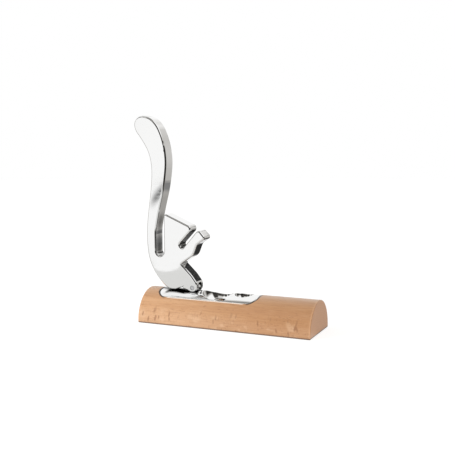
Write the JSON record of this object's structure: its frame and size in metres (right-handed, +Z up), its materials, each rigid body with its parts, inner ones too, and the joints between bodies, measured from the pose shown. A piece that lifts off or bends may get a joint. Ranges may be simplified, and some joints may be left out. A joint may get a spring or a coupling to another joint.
{
  "type": "nutcracker",
  "caption": "Table nutcracker: chromed squirrel lever hinged on a nut plate with a large and a small bowl, let into a half-round beech bar.",
  "frame": {"origin": "middle of the whole object's footprint box, on the plane the four feet stand on", "axes": "+X along the bar, from the end under the squirrel's tail to the plain end; +Y to the squirrel's left as it faces +X; +Z up"},
  "size_m": [0.2154, 0.064, 0.2292],
  "materials": {
    "beech": "oiled, fine flecked grain along the bar",
    "chrome_plate": "mirror polished chrome plating on a zinc casting",
    "chrome_squirrel": "mirror polished chrome plating on a zinc casting",
    "steel_pin": "ground steel with turned end faces",
    "washer_nylon": "plain natural nylon",
    "zinc_screws": "bright zinc plated steel",
    "foot_rubber": "matt black rubber"
  },
  "bodies": {
    "base": {"base_block": "beech", "nut_plate": "chrome_plate", "plate_screw_rear": "zinc_screws", "plate_screw_front": "zinc_screws", "screw_washer_rear": "zinc_screws", "screw_washer_front": "zinc_screws", "foot_front_left": "foot_rubber", "foot_front_right": "foot_rubber", "foot_rear_left": "foot_rubber", "foot_rear_right": "foot_rubber"},
    "squirrel": {"squirrel_lever": "chrome_squirrel", "hinge_pin": "steel_pin", "hinge_washer_left": "washer_nylon", "hinge_washer_right": "washer_nylon"}
  },
  "joints": [
    {"name": "squirrel_hinge", "type": "hinge", "parent": "base", "child": "squirrel", "pos_m": [-0.03635, 0, 0.0394], "axis": [0, 1, 0], "range_deg": [0, 72]}
  ]
}
